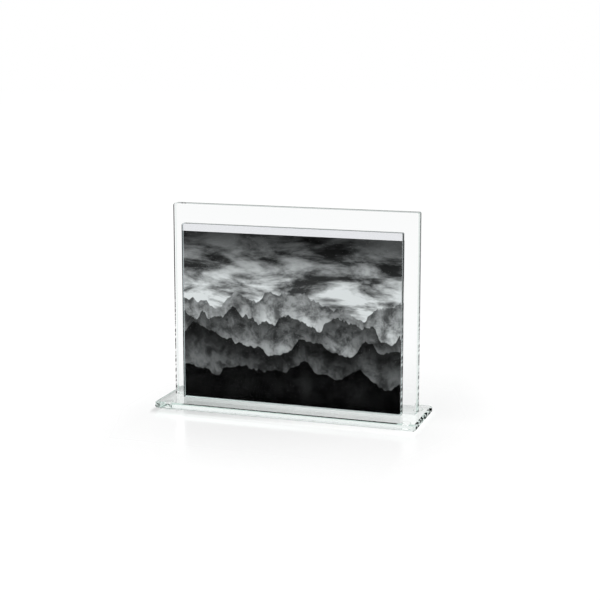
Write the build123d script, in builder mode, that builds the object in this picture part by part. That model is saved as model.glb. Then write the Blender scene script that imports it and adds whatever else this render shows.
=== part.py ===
"""Block photo frame of clear glass: two upright panes bonded to a base plate, with a print standing between them.

Millimetres. +X runs along the panes to the viewer's right, +Y away from the viewer and +Z up. The origin is on the
table, under the middle of the base plate.
"""

import os

from build123d import *

# Print: a 15 x 20 cm photograph, standing on the base on its long edge
print_width = 200.0
print_height = 150.0
print_thickness = 0.25
print_play = 0.2  # free room between each face of the print and the glass

# Front pane: as wide as the print, with a clear strip of glass above it
front_thickness = 8.0
front_strip = 7.0

# Back pane: shows beside the front pane at both ends, and above it
back_thickness = 12.0
back_side_border = 11.5
back_top_border = 16.5

# Base plate: reaches past the back pane at both ends, and past the panes in front and behind
base_thickness = 6.0
base_end_reach = 7.0
base_front_reach = 22.0
base_back_reach = 22.0

# Ground and polished edges: an arris along every edge, and clipped corners
pane_arris = 0.8
bonded_arris = 0.2  # along a pane's lower edges, left nearly square for the adhesive
pane_corner = 0.8
base_arris = 1.2
base_corner = 1.8

# Film of cured clear adhesive under each pane
bond_thickness = 0.15
bond_setback = 0.2  # from the edge of the pane's flat lower side to the edge of the film

# Moulded bumper feet, stuck under the corners of the base
foot_diameter = 8.0
foot_height = 1.5
foot_rim = 0.5  # straight band between the base and the rounded tread
foot_inset = 10.0  # from the edges of the base to the middle of a foot

# Widths and heights that follow
front_height = print_height + front_strip - bond_thickness
back_width = print_width + 2 * back_side_border
back_height = front_height + back_top_border
base_width = back_width + 2 * base_end_reach

# Levels above the table
base_underside = foot_height
base_top = base_underside + base_thickness
pane_underside = base_top + bond_thickness

# Depths, from the front edge of the base to its back edge
slot_depth = print_thickness + 2 * print_play
base_depth = base_front_reach + front_thickness + slot_depth + back_thickness + base_back_reach
front_pane_y = base_front_reach - base_depth / 2
slot_y = front_pane_y + front_thickness
back_pane_y = slot_y + slot_depth

os.makedirs("parts", exist_ok=True)


def upright_plane(depth):
    """A plane that faces the viewer at this depth, with X across it and the level above the table up it."""
    return Plane.XZ.offset(-depth)


def glass_pane(name, width, height, thickness, front_y):
    """An upright pane: upper corners clipped in outline, then an arris along every edge of both faces."""
    with BuildPart() as pane:
        with BuildSketch(upright_plane(front_y + thickness)) as outline:
            with Locations((0, pane_underside)):
                Rectangle(width, height, align=(Align.CENTER, Align.MIN))
            chamfer(outline.vertices().group_by(Axis.Y)[-1], pane_corner)
        extrude(amount=thickness)
        face_edges = pane.faces().filter_by(Axis.Y).edges()
        chamfer(face_edges.filter_by(lambda edge: edge.center().Z > base_top + pane_arris), pane_arris)
        lower_side = pane.faces().filter_by(Axis.Z).sort_by(Axis.Z)[0]
        chamfer(lower_side.edges().filter_by(Axis.X), bonded_arris)
    pane.part.label = name
    export_step(pane.part, f"parts/{name}.step")


def bond_film(name, pane_width, pane_thickness, pane_front_y):
    """The adhesive film that fills the joint between a pane's flat lower side and the base."""
    film_width = pane_width - 2 * (pane_arris + bond_setback)
    film_depth = pane_thickness - 2 * (bonded_arris + bond_setback)
    with BuildPart() as film:
        with BuildSketch(Plane.XY.offset(base_top)):
            with Locations((0, pane_front_y + pane_thickness / 2)):
                Rectangle(film_width, film_depth)
        extrude(amount=bond_thickness)
    film.part.label = name
    export_step(film.part, f"parts/{name}.step")


# Base plate: clipped corners, and an arris round the upper and the lower side
with BuildPart() as base_plate:
    with BuildSketch(Plane.XY.offset(base_underside)) as base_outline:
        Rectangle(base_width, base_depth)
        chamfer(base_outline.vertices(), base_corner)
    extrude(amount=base_thickness)
    chamfer(base_plate.faces().filter_by(Axis.Z).edges(), base_arris)
base_plate.part.label = "base_plate"
export_step(base_plate.part, "parts/base_plate.step")

# Back pane and front pane, each on its film
glass_pane("back_pane", back_width, back_height, back_thickness, back_pane_y)
bond_film("back_pane_bond", back_width, back_thickness, back_pane_y)
glass_pane("front_pane", print_width, front_height, front_thickness, front_pane_y)
bond_film("front_pane_bond", print_width, front_thickness, front_pane_y)

# Print: stands on the base in the middle of the slot
with BuildPart() as photo_print:
    with BuildSketch(upright_plane(back_pane_y - print_play)):
        with Locations((0, base_top)):
            Rectangle(print_width, print_height, align=(Align.CENTER, Align.MIN))
    extrude(amount=print_thickness)
photo_print.part.label = "photo_print"
export_step(photo_print.part, "parts/photo_print.step")

# Feet: a straight rim stuck to the base, rounded below to a flat tread
for end, end_side in (("front", -1), ("back", 1)):
    for hand, hand_side in (("left", -1), ("right", 1)):
        foot_x = hand_side * (base_width / 2 - foot_inset)
        foot_y = end_side * (base_depth / 2 - foot_inset)
        foot_name = f"foot_{end}_{hand}"
        with BuildPart() as foot:
            with BuildSketch():
                with Locations((foot_x, foot_y)):
                    Circle(foot_diameter / 2)
            extrude(amount=foot_height)
            fillet(foot.edges().group_by(Axis.Z)[0], foot_height - foot_rim)
        foot.part.label = foot_name
        export_step(foot.part, f"parts/{foot_name}.step")
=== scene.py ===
import math

import bpy
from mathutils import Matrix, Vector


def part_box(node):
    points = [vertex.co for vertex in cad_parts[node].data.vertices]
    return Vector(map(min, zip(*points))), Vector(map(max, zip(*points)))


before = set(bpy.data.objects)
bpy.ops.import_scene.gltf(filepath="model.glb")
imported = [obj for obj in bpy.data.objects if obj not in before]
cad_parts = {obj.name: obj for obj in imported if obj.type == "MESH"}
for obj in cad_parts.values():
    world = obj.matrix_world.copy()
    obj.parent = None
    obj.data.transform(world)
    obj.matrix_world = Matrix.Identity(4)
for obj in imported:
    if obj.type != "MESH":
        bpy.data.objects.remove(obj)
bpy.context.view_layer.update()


# Base plate
# A flat plate of clear float glass with clipped corners, lying on four feet. Its edges are ground flat with
# an arris above and below, then polished. Both panes stand on it, each on a film of clear adhesive.

def shader_node(tree, kind, inputs=None, **settings):
    """Adds a node. Each input is given by its name or number, as a value or as the socket that feeds it."""
    node = tree.nodes.new(kind)
    for setting, value in settings.items():
        setattr(node, setting, value)
    for name, value in (inputs or {}).items():
        if isinstance(value, bpy.types.NodeSocket):
            tree.links.new(value, node.inputs[name])
        else:
            node.inputs[name].default_value = value
    return node


def math_node(tree, operation, first, second=0.0, third=0.0, clamp=False):
    """Adds a Math node and returns its result."""
    inputs = {0: first, 1: second, 2: third}
    return shader_node(tree, "ShaderNodeMath", inputs, operation=operation, use_clamp=clamp).outputs[0]


def blend(tree, value, low, high, to_low=0.0, to_high=1.0):
    """Adds a smooth ramp from to_low, where the value is low, to to_high, where it is high."""
    inputs = {"Value": value, "From Min": low, "From Max": high, "To Min": to_low, "To Max": to_high}
    ramp = shader_node(tree, "ShaderNodeMapRange", inputs, interpolation_type="SMOOTHSTEP")
    return ramp.outputs["Result"]


def mix_values(tree, factor, first, second):
    """Mixes two values, each a number or a socket, and returns the result."""
    inputs = {"Factor": factor, "A": first, "B": second}
    return shader_node(tree, "ShaderNodeMix", inputs, data_type="FLOAT").outputs["Result"]


def mix_shaders(tree, factor, first, second):
    """Mixes the shaders of two nodes and returns the new node."""
    inputs = {0: factor, 1: first.outputs[0], 2: second.outputs[0]}
    return shader_node(tree, "ShaderNodeMixShader", inputs)


def noise(tree, place, scale, detail, roughness=0.5, distortion=0.0):
    """Adds a noise texture and returns its value."""
    inputs = {"Vector": place, "Scale": scale, "Detail": detail, "Roughness": roughness,
              "Distortion": distortion}
    return shader_node(tree, "ShaderNodeTexNoise", inputs).outputs["Fac"]


def noise_along(tree, way, scale, detail, roughness=0.5):
    """Adds a noise that changes along one way only, and returns its value."""
    inputs = {"W": way, "Scale": scale, "Detail": detail, "Roughness": roughness}
    return shader_node(tree, "ShaderNodeTexNoise", inputs, noise_dimensions="1D").outputs["Fac"]


def axes_of(tree, place):
    """Splits a place into its X, Y and Z sockets."""
    return shader_node(tree, "ShaderNodeSeparateXYZ", {0: place}).outputs


def object_place(tree):
    """The place of a point in the frame."""
    return shader_node(tree, "ShaderNodeTexCoord").outputs["Object"]


def new_material(name):
    """An empty node material and its tree."""
    material = bpy.data.materials.new(name)
    material.use_nodes = True
    material.node_tree.nodes.clear()
    return material, material.node_tree


def put_on(piece, material):
    """Gives a piece this material alone."""
    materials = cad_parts[piece].data.materials
    materials.clear()
    materials.append(material)


# Finish of a worked glass edge, at a place measured from the middle of the slab, with X along it and Z
# through its thickness. The ground mask marks the arrises, a seam that fades out from the low side, and
# patches on the ends. It adds a little roughness there and carries the painted shade of the dark edge lines.
# Gaps break these lines into dashes low down. The inner rim mask marks an end's band along the high side, for
# painted shade.
edge_group = bpy.data.node_groups.new("worked glass edge", "ShaderNodeTree")
edge_group.interface.new_socket("Place", in_out="INPUT", socket_type="NodeSocketVector")
for edge_value in ("Half Length", "Half Thickness", "Arris", "Seam", "End Patches", "Low Roughness",
                   "Line Gaps", "Rim"):
    edge_group.interface.new_socket(edge_value, in_out="INPUT", socket_type="NodeSocketFloat")
for edge_result in ("Ground", "Inner Rim Shade", "Roughness", "Height"):
    edge_group.interface.new_socket(edge_result, in_out="OUTPUT", socket_type="NodeSocketFloat")
edge_in = edge_group.nodes.new("NodeGroupInput").outputs
edge_out = edge_group.nodes.new("NodeGroupOutput").inputs
edge_axes = axes_of(edge_group, edge_in["Place"])


def edge_math(operation, first, second=0.0, third=0.0):
    """A Math node in the group of the worked edge."""
    return math_node(edge_group, operation, first, second, third)


# Arrises, by the depth below the nearer face
face_tolerance = 0.00003  # a place nearer to a face than this is on it
edge_below_face = edge_math("SUBTRACT", edge_in["Half Thickness"], edge_math("ABSOLUTE", edge_axes["Z"]))
edge_worked = edge_math("GREATER_THAN", edge_below_face, face_tolerance)
edge_in_arris = edge_math("LESS_THAN", edge_below_face, edge_in["Arris"])

# The seam: a band of painted shade with a little roughness, at its full strength on the flat of the ends
seam_and_shade_elsewhere = 0.6
edge_from_end = edge_math("SUBTRACT", edge_in["Half Length"], edge_math("ABSOLUTE", edge_axes["X"]))
edge_flat_end = edge_math("LESS_THAN", edge_from_end, face_tolerance)
edge_above_low = edge_math("ADD", edge_axes["Z"], edge_in["Half Thickness"])
edge_seam_and_shade = blend(edge_group, edge_above_low, low=0.0, high=edge_in["Seam"], to_low=1.0, to_high=0.0)
edge_seam_and_shade_share = edge_math("MULTIPLY_ADD", edge_flat_end, 1.0 - seam_and_shade_elsewhere, seam_and_shade_elsewhere)
edge_in_seam_and_shade = edge_math("MULTIPLY", edge_seam_and_shade, edge_seam_and_shade_share)

# Gaps that make dashes of the lines of painted shade
edge_dashes = noise_along(edge_group, edge_axes["Y"], scale=330.0, detail=1.0)
edge_dashed = blend(edge_group, edge_dashes, low=0.42, high=0.54, to_low=0.9, to_high=0.0)
edge_lower_half = blend(edge_group, edge_axes["Y"], low=-0.03, high=0.02, to_low=1.0, to_high=0.0)
edge_gaps = edge_math("MULTIPLY", edge_dashed, edge_lower_half)
edge_gaps = edge_math("MULTIPLY", edge_gaps, edge_in["Line Gaps"])
edge_unbroken = edge_math("SUBTRACT", 1.0, edge_gaps)
edge_lines = edge_math("MAXIMUM", edge_in_arris, edge_in_seam_and_shade)
edge_lines = edge_math("MULTIPLY", edge_lines, edge_unbroken)

# Inner rim of painted shade, on an end's band along the high side
edge_below_high = edge_math("SUBTRACT", edge_in["Half Thickness"], edge_axes["Z"])
edge_in_rim = edge_math("LESS_THAN", edge_below_high, edge_in["Rim"])
edge_rim_shade = edge_math("MULTIPLY", edge_in_rim, edge_flat_end)
edge_rim_shade = edge_math("MULTIPLY", edge_rim_shade, edge_unbroken)

# Patches of painted shade on the ends, drawn out across the slab and thicker at one end than at the other
end_depth = 0.0019  # takes in the clipped corners
patch_lean = 0.025
edge_end = edge_math("LESS_THAN", edge_from_end, end_depth)
edge_end = edge_math("MULTIPLY", edge_end, edge_in["End Patches"])
edge_drawn = shader_node(edge_group, "ShaderNodeMapping", {"Vector": edge_in["Place"],
                                                           "Scale": (1.0, 0.5, 1.0)})
edge_patch_noise = noise(edge_group, edge_drawn.outputs[0], scale=380.0, detail=1.0, roughness=0.4)
edge_end_side = edge_math("SIGN", edge_axes["X"])
edge_patch_noise = edge_math("MULTIPLY_ADD", edge_end_side, patch_lean, edge_patch_noise)
edge_patches = blend(edge_group, edge_patch_noise, low=0.49, high=0.53)
edge_lines_and_patches = mix_values(edge_group, edge_end, edge_lines, edge_patches)
edge_ground_and_shade = edge_math("MULTIPLY", edge_worked, edge_lines_and_patches)

# Roughness: fine streaks of polish, more where the edge is ground, and most on the arris of the low side
polish_roughness = 0.03
ground_roughness = 0.02
edge_stretch = shader_node(edge_group, "ShaderNodeMapping", {"Vector": edge_in["Place"],
                                                             "Scale": (1.0, 1.0, 14.0)})
edge_streaks = noise(edge_group, edge_stretch.outputs[0], scale=260.0, detail=3.0, roughness=0.6)
edge_polish = edge_math("MULTIPLY", edge_streaks, polish_roughness)
edge_rough = edge_math("MULTIPLY_ADD", edge_ground_and_shade, ground_roughness, edge_polish)
edge_in_low = edge_math("LESS_THAN", edge_above_low, edge_in["Arris"])
edge_low = edge_math("MULTIPLY", edge_in_low, edge_in["Low Roughness"])
edge_rough = edge_math("ADD", edge_rough, edge_low)
edge_roughness = edge_math("MULTIPLY", edge_worked, edge_rough)

# Height: the same streaks over broader waves, which are far deeper on the patched ends
streak_height = 0.3
wave_height = 0.15
end_wave_height = 6.0
edge_waves = noise(edge_group, edge_in["Place"], scale=420.0, detail=1.0)
edge_relief = edge_math("MULTIPLY_ADD", edge_streaks, streak_height, edge_waves)
edge_swell = edge_math("MULTIPLY_ADD", edge_end, end_wave_height, wave_height)
edge_height = edge_math("MULTIPLY", edge_relief, edge_swell)
edge_height = edge_math("MULTIPLY", edge_worked, edge_height)

edge_group.links.new(edge_ground_and_shade, edge_out["Ground"])
edge_group.links.new(edge_rim_shade, edge_out["Inner Rim Shade"])
edge_group.links.new(edge_roughness, edge_out["Roughness"])
edge_group.links.new(edge_height, edge_out["Height"])

contact_tolerance = 0.00002  # surfaces nearer to each other than this touch


def touching(tree, place, neighbour, is_round):
    """Masks the part of a surface that lies against this neighbour, from its place in the frame."""
    low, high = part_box(neighbour)
    middle = (low + high) / 2
    half = (high - low) / 2
    axes = axes_of(tree, place)
    across = math_node(tree, "ABSOLUTE", math_node(tree, "SUBTRACT", axes["X"], middle.x))
    along = math_node(tree, "ABSOLUTE", math_node(tree, "SUBTRACT", axes["Y"], middle.y))
    upward = math_node(tree, "ABSOLUTE", math_node(tree, "SUBTRACT", axes["Z"], middle.z))
    if is_round:
        square = math_node(tree, "MULTIPLY_ADD", along, along, math_node(tree, "MULTIPLY", across, across))
        inside = math_node(tree, "LESS_THAN", square, half.x * half.x)
    else:
        inside = math_node(tree, "MULTIPLY", math_node(tree, "LESS_THAN", across, half.x),
                           math_node(tree, "LESS_THAN", along, half.y))
    level = math_node(tree, "LESS_THAN", upward, half.z + contact_tolerance)
    return math_node(tree, "MULTIPLY", inside, level)


glass_index = 1.52
glass_green = (0.38, 0.79, 0.71, 1.0)
glass_passed = (0.93, 0.95, 0.94, 1.0)  # what a lamp's light keeps at each surface
# tint of the dark coat that paints shade on the glass edges
painted_edge_shade = (0.03, 0.048, 0.046, 1.0)
glossy_turns = 2.5  # past so many reflections a ray ends in the painted glow of the glass
ray_turns = 9.5  # and past so many of any kind


def glass_slab(piece, slot, turn, arris, seam_and_shade, clear_colour, painted_glow_colour, tint_density, bonds, feet=(),
               end_patches=0.0, low_roughness=0.0, line_gaps=0.0, rim=0.0, inside_shade=0.0):
    """Puts worked float glass on a slab. The turn lays Z through its thickness and X along its length."""
    low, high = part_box(piece)
    size = high - low
    material, tree = new_material(slot)
    place = object_place(tree)
    slab_place = shader_node(tree, "ShaderNodeMapping", {"Vector": place, "Location": (low + high) / 2,
                                                         "Rotation": turn}, vector_type="TEXTURE")
    edge = shader_node(tree, "ShaderNodeGroup", {
        "Place": slab_place.outputs[0],
        "Half Length": size.x / 2,
        "Half Thickness": min(size.y, size.z) / 2,
        "Arris": arris,
        "Seam": seam_and_shade,
        "End Patches": end_patches,
        "Low Roughness": low_roughness,
        "Line Gaps": line_gaps,
        "Rim": rim,
    }, node_tree=edge_group).outputs
    bump = shader_node(tree, "ShaderNodeBump", {"Height": edge["Height"], "Strength": 0.35,
                                                "Distance": 0.0002})

    # Painted shade: the ground edges get a dark coat where they are seen at a slant, from outside or through
    # the glass
    slant = shader_node(tree, "ShaderNodeLayerWeight", {"Blend": 0.5})
    grazing = blend(tree, slant.outputs["Facing"], low=0.54, high=0.66)
    inside = shader_node(tree, "ShaderNodeNewGeometry").outputs["Backfacing"]
    unshaded = math_node(tree, "MULTIPLY", inside, 1.0 - inside_shade)
    shaded = math_node(tree, "SUBTRACT", 1.0, unshaded)
    outer = math_node(tree, "MULTIPLY", edge["Ground"], shaded)
    inner = math_node(tree, "MULTIPLY", edge["Inner Rim Shade"], inside)
    painted_shade = math_node(tree, "MULTIPLY", math_node(tree, "MAXIMUM", outer, inner), grazing)
    body = shader_node(tree, "ShaderNodeBsdfPrincipled", {
        "Base Color": clear_colour,
        "Roughness": edge["Roughness"],
        "IOR": glass_index,
        "Transmission Weight": 1.0,
        "Specular Tint": (0.0, 0.0, 0.0, 1.0),
        "Coat Weight": painted_shade,
        "Coat IOR": 1.0,
        "Coat Tint": painted_edge_shade,
        "Normal": bump.outputs[0],
    })

    # Light on its way to other surfaces goes straight through
    ray = shader_node(tree, "ShaderNodeLightPath").outputs
    lit_through = math_node(tree, "MAXIMUM", ray["Is Shadow Ray"], ray["Is Diffuse Ray"])
    clear = shader_node(tree, "ShaderNodeBsdfTransparent", {"Color": glass_passed})
    surface = mix_shaders(tree, lit_through, body, clear)

    # Painted light: a ray caught inside the glass ends in a flat glow of a colour set for each slab
    many_turns = math_node(tree, "GREATER_THAN", ray["Glossy Depth"], glossy_turns)
    long_way = math_node(tree, "GREATER_THAN", ray["Ray Depth"], ray_turns)
    caught = math_node(tree, "MAXIMUM", many_turns, long_way)
    painted_glow = shader_node(tree, "ShaderNodeEmission", {"Color": painted_glow_colour, "Strength": 1.0})
    surface = mix_shaders(tree, caught, surface, painted_glow)

    # No surface is seen where a film or a foot is stuck to the glass
    joined = 0.0
    for neighbour in bonds + feet:
        spot = touching(tree, place, neighbour, is_round=neighbour in feet)
        joined = math_node(tree, "MAXIMUM", joined, spot)
    contact = shader_node(tree, "ShaderNodeBsdfTransparent")
    surface = mix_shaders(tree, joined, surface, contact)
    tint = shader_node(tree, "ShaderNodeVolumeAbsorption", {"Color": glass_green, "Density": tint_density})
    shader_node(tree, "ShaderNodeOutputMaterial", {"Surface": surface.outputs[0], "Volume": tint.outputs[0]})
    put_on(piece, material)


bond_names = ("back_pane_bond", "front_pane_bond")
foot_names = ("foot_front_left", "foot_front_right", "foot_back_left", "foot_back_right")
glass_slab("base_plate", "base_glass", turn=(0.0, 0.0, 0.0), arris=0.0012, seam_and_shade=0.00001,
           clear_colour=(0.97, 0.98, 0.975, 1.0), painted_glow_colour=(0.62, 0.72, 0.68, 1.0), tint_density=1.4,
           bonds=bond_names, feet=foot_names, end_patches=1.0, low_roughness=0.4, inside_shade=0.7)


# Back pane
# The larger upright pane of thick float glass, worked on all its edges like the base and bonded to it along
# its lower edge. It stands behind the print and shows round the front pane as a clear border.

upright = (math.radians(90.0), 0.0, 0.0)
glass_slab("back_pane", "back_glass", turn=upright, arris=0.0008, seam_and_shade=0.009,
           clear_colour=(0.94, 0.943, 0.945, 1.0), painted_glow_colour=(0.8, 0.86, 0.84, 1.0), tint_density=0.9,
           bonds=("back_pane_bond",), line_gaps=1.0, rim=0.0047)


# Front pane
# The smaller upright pane of float glass, as wide as the print and a little taller. It is bonded to the base
# clear of the back pane, by the thickness of the print and its play.

glass_slab("front_pane", "front_glass", turn=upright, arris=0.0008, seam_and_shade=0.014,
           clear_colour=(0.82, 0.825, 0.85, 1.0), painted_glow_colour=(0.5, 0.57, 0.57, 1.0), tint_density=0.6,
           bonds=("front_pane_bond",), line_gaps=1.0, rim=0.0042)


# Adhesive films
# A thin film of clear ultraviolet-cured adhesive under each pane. It wets the glass above and below, so light
# goes straight through both joints, and only its narrow rim shows.

for bond_name in bond_names:
    bond_low, bond_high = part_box(bond_name)
    bond_material, bond_tree = new_material(bond_name)
    bond_place = object_place(bond_tree)
    bond_cloud = noise(bond_tree, bond_place, scale=900.0, detail=2.0)
    bond_rough = blend(bond_tree, bond_cloud, low=0.3, high=0.7, to_low=0.05, to_high=0.3)
    bond_body = shader_node(bond_tree, "ShaderNodeBsdfPrincipled", {
        "Base Color": (0.96, 0.98, 0.96, 1.0),
        "Roughness": bond_rough,
        "IOR": 1.5,
        "Transmission Weight": 1.0,
    })
    bond_middle = (bond_low.z + bond_high.z) / 2
    bond_half = (bond_high.z - bond_low.z) / 2
    bond_level = math_node(bond_tree, "SUBTRACT", axes_of(bond_tree, bond_place)["Z"], bond_middle)
    bond_level = math_node(bond_tree, "ABSOLUTE", bond_level)
    bond_wetted = math_node(bond_tree, "GREATER_THAN", bond_level, bond_half - contact_tolerance)
    bond_contact = shader_node(bond_tree, "ShaderNodeBsdfTransparent")
    bond_surface = mix_shaders(bond_tree, bond_wetted, bond_body, bond_contact)
    shader_node(bond_tree, "ShaderNodeOutputMaterial", {"Surface": bond_surface.outputs[0]})
    put_on(bond_name, bond_material)


# Print
# A sheet of semi-gloss photographic paper, standing loose on the base in the slot between the panes. Its
# picture is toward the viewer, and its bare back is against the back pane.

picture_unit = 0.15  # the picture is measured in the print's height, from its lower left corner
print_low, print_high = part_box("photo_print")
print_material, print_tree = new_material("print")
print_place = shader_node(print_tree, "ShaderNodeMapping", {
    "Vector": object_place(print_tree),
    "Location": (print_low.x, 0.0, print_low.z),
    "Scale": (picture_unit, picture_unit, picture_unit),
}, vector_type="TEXTURE").outputs[0]
print_axes = axes_of(print_tree, print_place)

# Sky: streaks of cloud, light low down and dark toward the top
cloud_place = shader_node(print_tree, "ShaderNodeMapping", {
    "Vector": print_place,
    "Rotation": (0.0, 0.2, 0.0),
    "Scale": (1.6, 1.0, 5.0),
})
clouds = noise(print_tree, cloud_place.outputs[0], scale=1.9, detail=12.0, roughness=0.62, distortion=0.35)
cloud_light = blend(print_tree, clouds, low=0.38, high=0.66)
cloud_grey = mix_values(print_tree, cloud_light, 0.08, 1.75)
sky_grey = blend(print_tree, print_axes["Z"], low=0.5, high=1.0, to_low=0.95, to_high=0.05)
picture = math_node(print_tree, "MULTIPLY", sky_grey, cloud_grey)

# Ridges, the far one first: height, swing, how fast it varies, where it starts, grey at its crest and foot
ridges = (
    (0.62, 0.16, 2.3, 3.1, 0.26, 0.66),
    (0.50, 0.15, 3.1, 8.7, 0.06, 0.40),
    (0.36, 0.12, 2.6, 15.2, 0.014, 0.15),
    (0.20, 0.09, 3.6, 21.9, 0.003, 0.022),
)
noise_middle = 0.5
noise_gain = 3.2  # brings the noise up to the swing
rock = noise(print_tree, print_place, scale=11.0, detail=10.0, roughness=0.68, distortion=0.3)
rock_light = blend(print_tree, rock, low=0.36, high=0.64, to_low=0.3, to_high=1.6)
for ridge_height, ridge_swing, ridge_pace, ridge_start, ridge_crest, ridge_foot in ridges:
    ridge_way = math_node(print_tree, "MULTIPLY_ADD", print_axes["X"], ridge_pace, ridge_start)
    ridge_noise = noise_along(print_tree, ridge_way, scale=1.0, detail=9.0, roughness=0.52)
    ridge_rise = math_node(print_tree, "SUBTRACT", ridge_noise, noise_middle)
    ridge_line = math_node(print_tree, "MULTIPLY_ADD", ridge_rise, noise_gain * ridge_swing, ridge_height)
    ridge_below = math_node(print_tree, "SUBTRACT", ridge_line, print_axes["Z"])
    ridge_mask = blend(print_tree, ridge_below, low=-0.002, high=0.003)
    ridge_grey = blend(print_tree, ridge_below, low=0.0, high=0.26, to_low=ridge_crest, to_high=ridge_foot)
    ridge_grey = math_node(print_tree, "MULTIPLY", ridge_grey, rock_light)
    picture = mix_values(print_tree, ridge_mask, picture, ridge_grey)

lower_fade = blend(print_tree, print_axes["Z"], low=0.0, high=0.16, to_low=0.15, to_high=1.0)
picture = math_node(print_tree, "MULTIPLY", picture, lower_fade, clamp=True)

# Bare paper, everywhere but on the picture side
picture_layer = 0.3  # share of the thickness, from the front, that has the picture's colour at its rim
picture_depth = print_low.y * (1.0 - picture_layer) + print_high.y * picture_layer
print_front = math_node(print_tree, "LESS_THAN", print_axes["Y"], picture_depth / picture_unit)
paper_fibre = noise(print_tree, print_place, scale=180.0, detail=3.0)
paper_mottle = noise(print_tree, print_place, scale=9.0, detail=4.0)
paper_grey = mix_values(print_tree, paper_fibre, 0.82, 0.92)
paper_shade = blend(print_tree, paper_mottle, low=0.3, high=0.7, to_low=0.94, to_high=1.0)
paper_grey = math_node(print_tree, "MULTIPLY", paper_grey, paper_shade)
print_grey = mix_values(print_tree, print_front, paper_grey, picture)
print_colour = shader_node(print_tree, "ShaderNodeCombineColor", {0: print_grey, 1: print_grey,
                                                                  2: print_grey})
paper_roughness = 0.7
picture_roughness = 0.28
print_body = shader_node(print_tree, "ShaderNodeBsdfPrincipled", {
    "Base Color": print_colour.outputs[0],
    "Roughness": mix_values(print_tree, print_front, paper_roughness, picture_roughness),
    "Specular IOR Level": 0.02,
})
shader_node(print_tree, "ShaderNodeOutputMaterial", {"Surface": print_body.outputs[0]})
put_on("photo_print", print_material)


# Feet
# Four small clear bumpers of soft polyurethane, moulded as a short stud with a rounded tread. They are stuck
# under the corners of the base by their own adhesive, which wets the glass so that little of them shows.

foot_ray_turns = 4.5  # past so many turns a ray goes straight through
foot_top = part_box("foot_front_left")[1].z
foot_material, foot_tree = new_material("foot")
foot_place = object_place(foot_tree)
foot_haze = noise(foot_tree, foot_place, scale=900.0, detail=2.0)
foot_rough = blend(foot_tree, foot_haze, low=0.3, high=0.7, to_low=0.08, to_high=0.16)
foot_body = shader_node(foot_tree, "ShaderNodeBsdfPrincipled", {
    "Base Color": (0.97, 0.98, 0.975, 1.0),
    "Roughness": foot_rough,
    "IOR": 1.5,
    "Transmission Weight": 1.0,
})
foot_clear = shader_node(foot_tree, "ShaderNodeBsdfTransparent", {"Color": (0.96, 0.97, 0.965, 1.0)})
foot_ray = shader_node(foot_tree, "ShaderNodeLightPath").outputs
foot_lit = math_node(foot_tree, "MAXIMUM", foot_ray["Is Shadow Ray"], foot_ray["Is Diffuse Ray"])
foot_deep = math_node(foot_tree, "GREATER_THAN", foot_ray["Ray Depth"], foot_ray_turns)
foot_stuck = math_node(foot_tree, "GREATER_THAN", axes_of(foot_tree, foot_place)["Z"],
                       foot_top - contact_tolerance)
foot_through = math_node(foot_tree, "MAXIMUM", foot_lit, foot_deep)
foot_through = math_node(foot_tree, "MAXIMUM", foot_through, foot_stuck)
foot_surface = mix_shaders(foot_tree, foot_through, foot_body, foot_clear)
shader_node(foot_tree, "ShaderNodeOutputMaterial", {"Surface": foot_surface.outputs[0]})
for foot_name in foot_names:
    put_on(foot_name, foot_material)


# Floor
# A wide sheet of white gloss acrylic, laid flat as a table top. It holds a faint reflection of the frame,
# stronger on the left, and grows duller away from the frame. Its white glow carries painted shade near and
# under the base, darker toward the left, and painted light that grows whiter far out. It isn't part of the
# frame.

floor_radius = 8.0
floor_end_pace = 3.0  # the floor changes so many times faster past the ends of the base than before it
floor_scatter = 0.6  # strength of the floor's own white on the surfaces that it lights
bpy.ops.object.select_all(action="DESELECT")
bpy.ops.mesh.primitive_circle_add(vertices=96, radius=floor_radius, fill_type="NGON",
                                  location=(0.0, 0.0, 0.0))
floor = bpy.context.object
floor.name = "studio_floor"
floor_material, floor_tree = new_material("studio_floor")
floor_axes = axes_of(floor_tree, object_place(floor_tree))

# Distance past the edge of the base
base_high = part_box("base_plate")[1]
floor_x = math_node(floor_tree, "ABSOLUTE", floor_axes["X"])
floor_y = math_node(floor_tree, "ABSOLUTE", floor_axes["Y"])
floor_past_x = math_node(floor_tree, "MAXIMUM", math_node(floor_tree, "SUBTRACT", floor_x, base_high.x), 0.0)
floor_past_y = math_node(floor_tree, "MAXIMUM", math_node(floor_tree, "SUBTRACT", floor_y, base_high.y), 0.0)
floor_past_x = math_node(floor_tree, "MULTIPLY", floor_past_x, floor_end_pace)
floor_past = math_node(floor_tree, "ADD", floor_past_x, floor_past_y)

# Gloss, and the floor's own white glow, with painted shade near the base and painted light far out
floor_rough = blend(floor_tree, floor_past, low=0.0, high=0.2, to_low=0.1, to_high=0.5)
floor_fade = blend(floor_tree, floor_past, low=0.0, high=0.14, to_low=1.0, to_high=0.0)
floor_side = blend(floor_tree, floor_axes["X"], low=-0.1, high=0.08, to_low=1.0, to_high=0.06)
floor_gloss = math_node(floor_tree, "MULTIPLY", floor_fade, floor_side)
# painted shade under and beside the base, darker toward the left
floor_shade_under = blend(floor_tree, floor_axes["X"], low=-0.12, high=0.08, to_low=0.42, to_high=0.74)
floor_white_and_shade = blend(floor_tree, floor_past, low=0.0, high=0.014, to_low=floor_shade_under, to_high=0.68)
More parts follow.
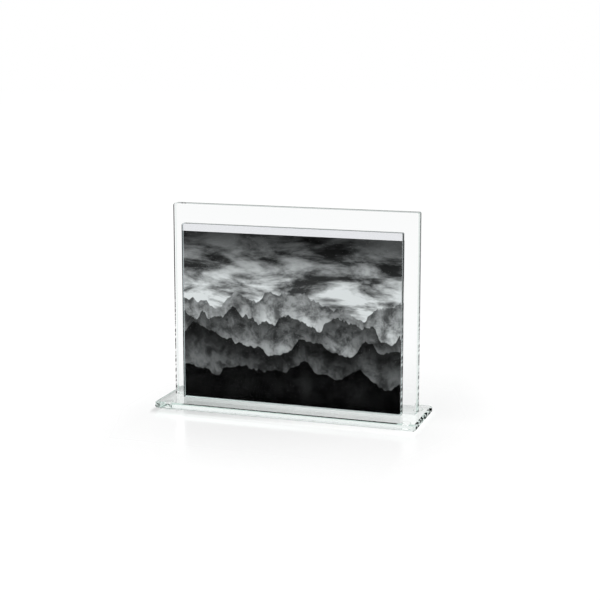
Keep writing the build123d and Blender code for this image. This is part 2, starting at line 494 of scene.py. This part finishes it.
# painted light, whiter far from the base
floor_far_light = blend(floor_tree, floor_past, low=0.0, high=0.3, to_low=0.0, to_high=0.07)
floor_white_and_shade = math_node(floor_tree, "ADD", floor_white_and_shade, floor_far_light)
floor_body = shader_node(floor_tree, "ShaderNodeBsdfPrincipled", {
    "Base Color": (0.3, 0.3, 0.3, 1.0),
    "Roughness": floor_rough,
    "Specular IOR Level": floor_gloss,
})
floor_ray = shader_node(floor_tree, "ShaderNodeLightPath").outputs
floor_strength = mix_values(floor_tree, floor_ray["Is Diffuse Ray"], floor_white_and_shade, floor_scatter)
floor_lift = shader_node(floor_tree, "ShaderNodeEmission", {"Color": (1.0, 1.0, 1.0, 1.0),
                                                            "Strength": floor_strength})
floor_sum = shader_node(floor_tree, "ShaderNodeAddShader", {0: floor_body.outputs[0],
                                                            1: floor_lift.outputs[0]})
shader_node(floor_tree, "ShaderNodeOutputMaterial", {"Surface": floor_sum.outputs[0]})
floor.data.materials.append(floor_material)


# Studio light
# A white room that lights the frame softly from all sides. Glass shows it darker overhead, both through the
# panes and in reflection. One large rectangular lamp hangs above, to the left and in front.

room_scatter = 0.85  # strength of the room's light on the frame
room_seen = 1.0
world = bpy.data.worlds.new("studio")
bpy.context.scene.world = world
world.use_nodes = True
world_tree = world.node_tree
world_tree.nodes.clear()
world_ray = shader_node(world_tree, "ShaderNodeLightPath").outputs
world_coordinates = shader_node(world_tree, "ShaderNodeTexCoord")
world_axes = axes_of(world_tree, world_coordinates.outputs["Generated"])
world_through = blend(world_tree, world_axes["Z"], low=0.22, high=0.45, to_low=1.0, to_high=0.5)
world_mirrored = blend(world_tree, world_axes["Z"], low=0.08, high=0.15, to_low=1.0, to_high=0.3)
world_strength = mix_values(world_tree, world_ray["Is Reflection Ray"], world_through, world_mirrored)
world_strength = mix_values(world_tree, world_ray["Is Diffuse Ray"], world_strength, room_scatter)
world_strength = mix_values(world_tree, world_ray["Is Camera Ray"], world_strength, room_seen)
world_light = shader_node(world_tree, "ShaderNodeBackground", {"Color": (1.0, 1.0, 1.0, 1.0),
                                                               "Strength": world_strength})
shader_node(world_tree, "ShaderNodeOutputWorld", {"Surface": world_light.outputs[0]})

lamp_data = bpy.data.lights.new("softbox", "AREA")
lamp_data.shape = "RECTANGLE"
lamp_data.size = 1.4
lamp_data.size_y = 1.0
lamp_data.energy = 9.0
lamp = bpy.data.objects.new("softbox", lamp_data)
bpy.context.collection.objects.link(lamp)
lamp.location = (-0.9, -0.9, 1.5)
lamp.rotation_euler = (math.radians(38.0), 0.0, math.radians(-45.0))


# Camera
# A long lens to the right of the frame and a little above it, at the angle of the photograph. It is shifted
# down a little, which keeps the uprights nearly parallel.

camera_fall = 8.43  # degrees below the level
camera_turn = 18.42  # degrees to the left of square on
camera_data = bpy.data.cameras.new("camera")
camera_data.sensor_width = 36.0
camera_data.lens = 79.68
camera_data.shift_y = -0.1
camera = bpy.data.objects.new("camera", camera_data)
bpy.context.collection.objects.link(camera)
camera.location = (0.3653, -1.0764, 0.3215)
camera.rotation_euler = (math.radians(90.0 - camera_fall), 0.0, math.radians(camera_turn))
bpy.context.scene.camera = camera
bpy.context.scene.view_settings.view_transform = "Standard"
